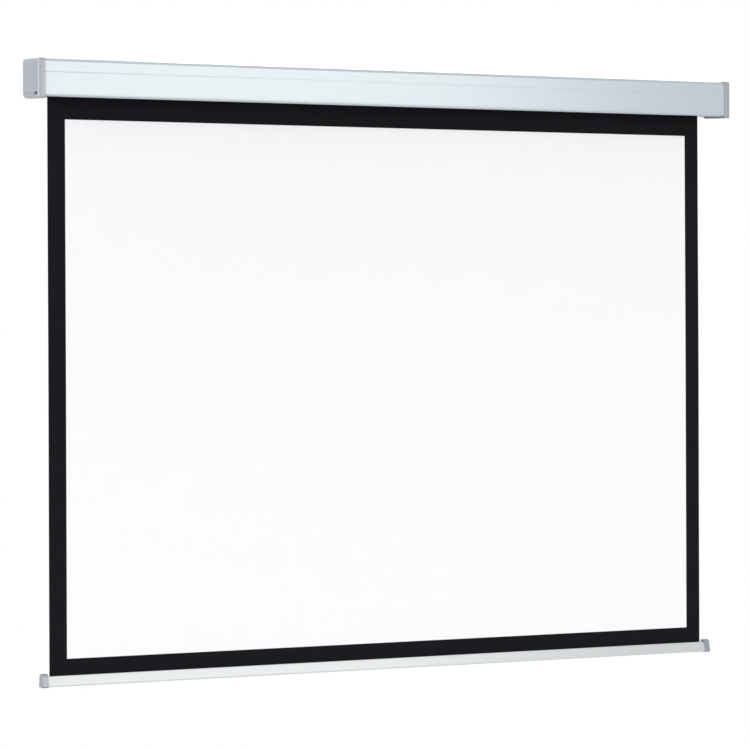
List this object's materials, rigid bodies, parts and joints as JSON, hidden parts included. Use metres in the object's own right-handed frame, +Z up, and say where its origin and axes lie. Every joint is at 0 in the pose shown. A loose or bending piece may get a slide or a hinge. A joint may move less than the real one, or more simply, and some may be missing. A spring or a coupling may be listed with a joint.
{
  "type": "pull down projector screen",
  "caption": "Wall-hung pull-down projection screen: white case with a spring roller, a black-bordered white fabric drawn down, and a weight bar along its lower edge.",
  "frame": {"origin": "centre of the case's flat back, which lies on the wall, at half the case's length and half the height of its front", "axes": "+X along the case to the viewer's right, +Y into the wall, +Z up; the picture faces -Y"},
  "size_m": [1.774, 0.1018, 1.3954],
  "materials": {
    "white_enamel": "satin white powder coat on extruded aluminium",
    "grey_plastic": "light grey moulded ABS, fine matt texture",
    "black_fabric": "matt black backed screen fabric",
    "white_fabric": "matt white viewing surface",
    "zinc_steel": "bright zinc plated steel",
    "spring_steel": "oiled spring steel wire",
    "black_steel": "black finished steel screw",
    "tube_aluminium": "mill finish aluminium tube",
    "nylon": "natural moulded nylon",
    "dark_plastic": "dark extruded plastic strip"
  },
  "bodies": {
    "case": {"case_housing": "white_enamel", "end_cap_left": "grey_plastic", "end_cap_right": "grey_plastic", "black_backing_sheet": "black_fabric", "white_viewing_sheet": "white_fabric", "hanger_plate_left": "zinc_steel", "hanger_plate_right": "zinc_steel", "idle_end_bracket": "zinc_steel", "spring_end_bracket": "zinc_steel", "spring_rod": "zinc_steel", "ratchet_wheel": "zinc_steel", "bracket_screw_left_1": "zinc_steel", "bracket_screw_left_2": "zinc_steel", "bracket_screw_right_1": "zinc_steel", "bracket_screw_right_2": "zinc_steel", "hanger_rivet_left_1": "zinc_steel", "hanger_rivet_left_2": "zinc_steel", "hanger_rivet_right_1": "zinc_steel", "hanger_rivet_right_2": "zinc_steel", "torsion_spring": "spring_steel", "end_cap_screw_left": "black_steel", "end_cap_screw_right": "black_steel", "idle_bush": "nylon", "rod_end_guide": "nylon"},
    "roller": {"roller_tube": "tube_aluminium", "fabric_key_strip": "dark_plastic", "spring_end_plug": "nylon", "idle_end_plug": "nylon", "idle_pin": "zinc_steel", "pawl_pin": "zinc_steel", "fabric_winding": "black_fabric"},
    "pawl": {"pawl": "zinc_steel"},
    "bar": {"bottom_bar": "white_enamel", "bar_cap_left": "grey_plastic", "bar_cap_right": "grey_plastic", "hem_rod": "zinc_steel", "fabric_hem": "black_fabric"}
  },
  "joints": [
    {"name": "bar_slide", "type": "slide", "parent": "case", "child": "bar", "axis": [0, 0, 1], "range_m": [0, 1.27], "deforming": ["black_backing_sheet", "white_viewing_sheet"]},
    {"name": "roller_spin", "type": "hinge", "parent": "case", "child": "roller", "pos_m": [0, -0.05, 0], "axis": [1, 0, 0], "range_deg": [0, 2700]},
    {"name": "pawl_pivot", "type": "hinge", "parent": "roller", "child": "pawl", "pos_m": [0.849, -0.063, -0.014], "axis": [1, 0, 0], "range_deg": [0, 35]}
  ],
  "couplings": [
    {"joint": "roller_spin", "follows": "bar_slide", "rad_per_m": 37.104}
  ]
}
